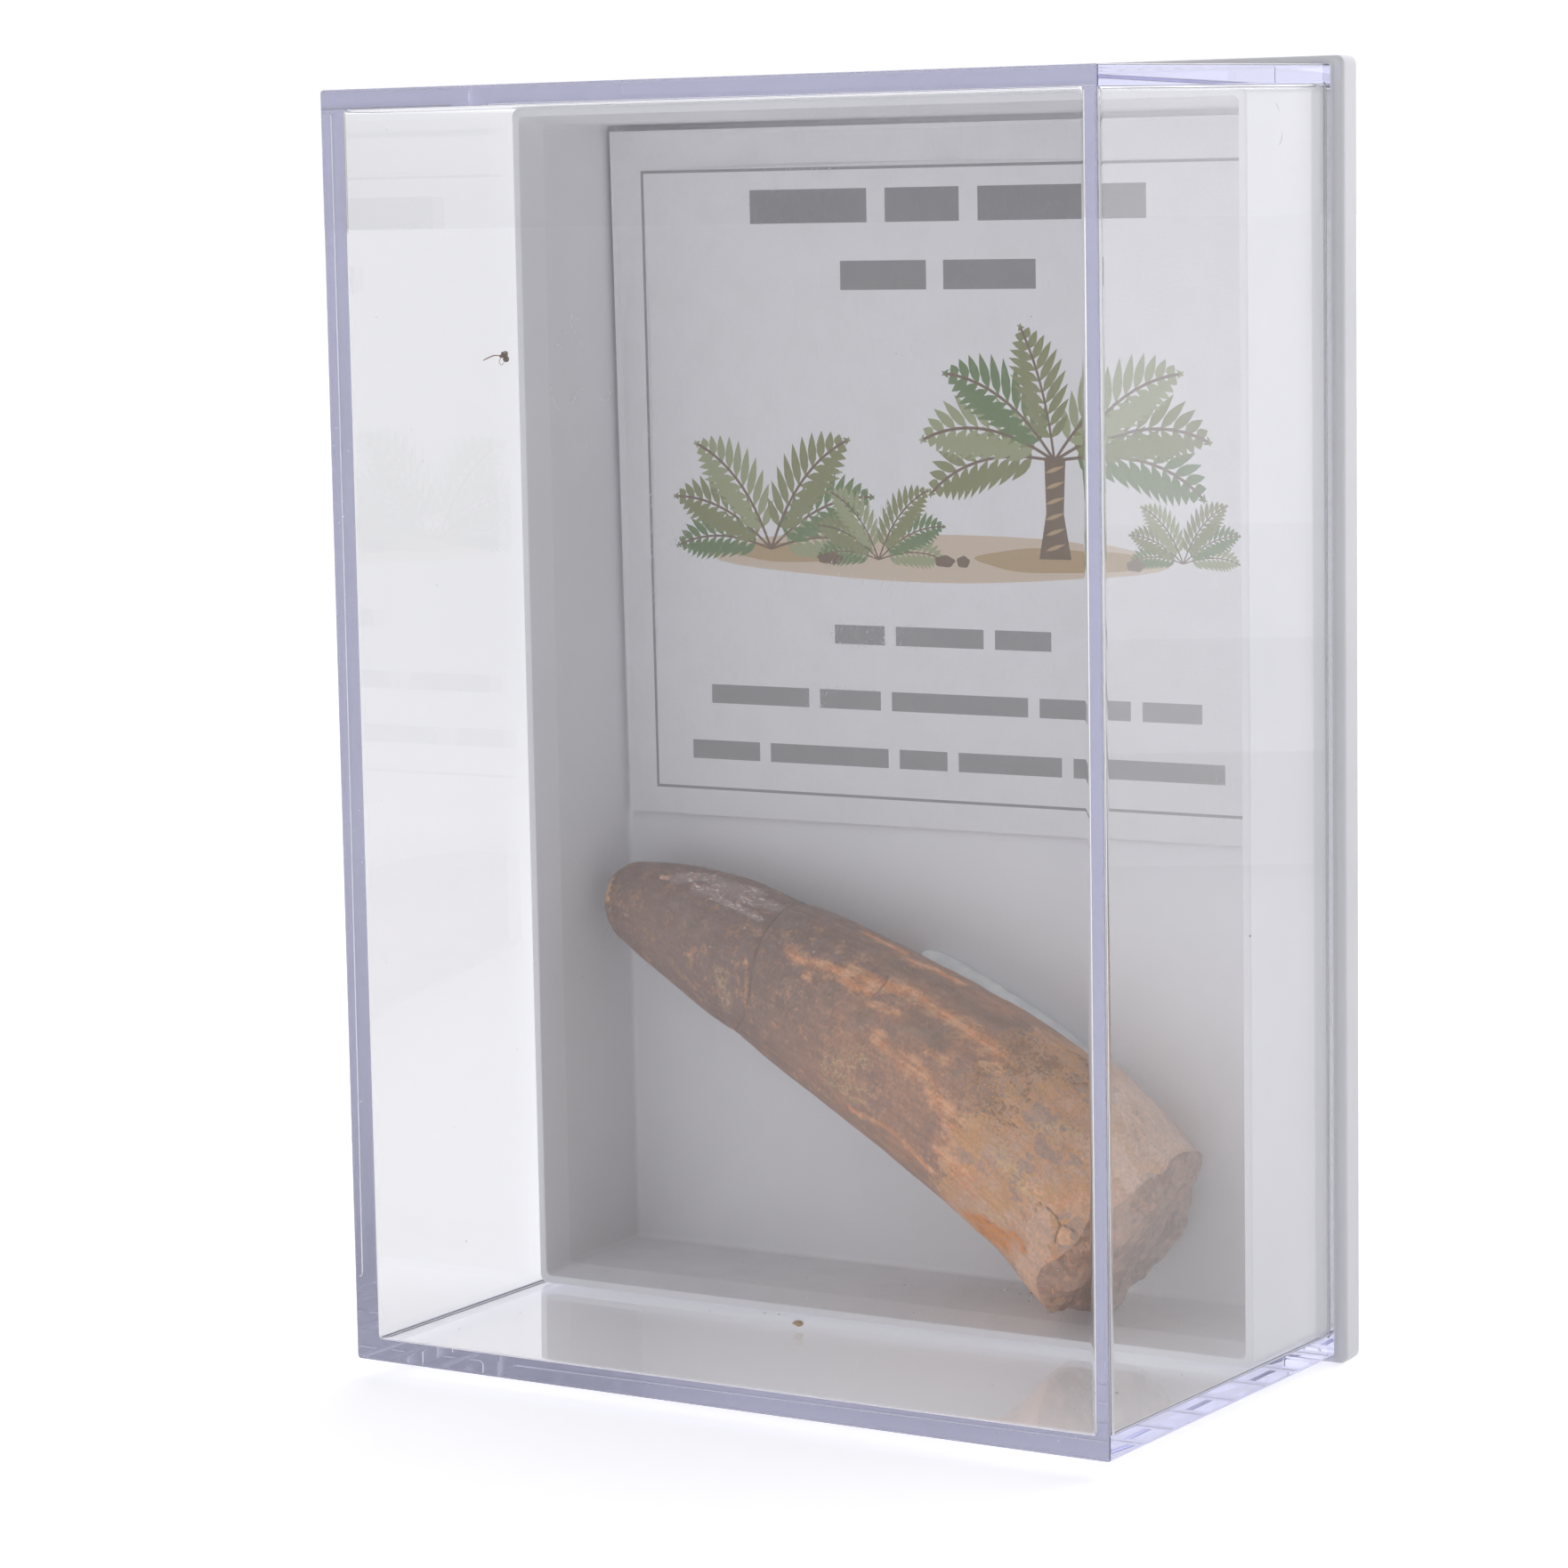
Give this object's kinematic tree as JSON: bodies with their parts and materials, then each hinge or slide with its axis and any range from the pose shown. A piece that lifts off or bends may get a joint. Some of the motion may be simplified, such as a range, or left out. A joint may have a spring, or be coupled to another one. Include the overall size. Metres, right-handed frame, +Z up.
{
  "type": "fossil tooth in display box",
  "caption": "Upright display box: a white tray with a printed card and a fossil tooth lying across its lower half, closed by a clear lid.",
  "frame": {"origin": "on the surface that the box stands on, under the middle of the box", "axes": "+Z up, -Y out through the clear front panel, +X to the right as the card is read"},
  "size_m": [0.0534, 0.031, 0.078],
  "materials": {
    "white_plastic": "satin",
    "clear_plastic": "clear, polished",
    "printed_card": "matt",
    "fossil": "satin, worn",
    "putty": "matt"
  },
  "bodies": {
    "root": {"base_tray": "white_plastic", "clear_lid": "clear_plastic", "label_card": "printed_card", "fossil_tooth": "fossil", "putty_bead": "putty"}
  },
  "joints": []
}
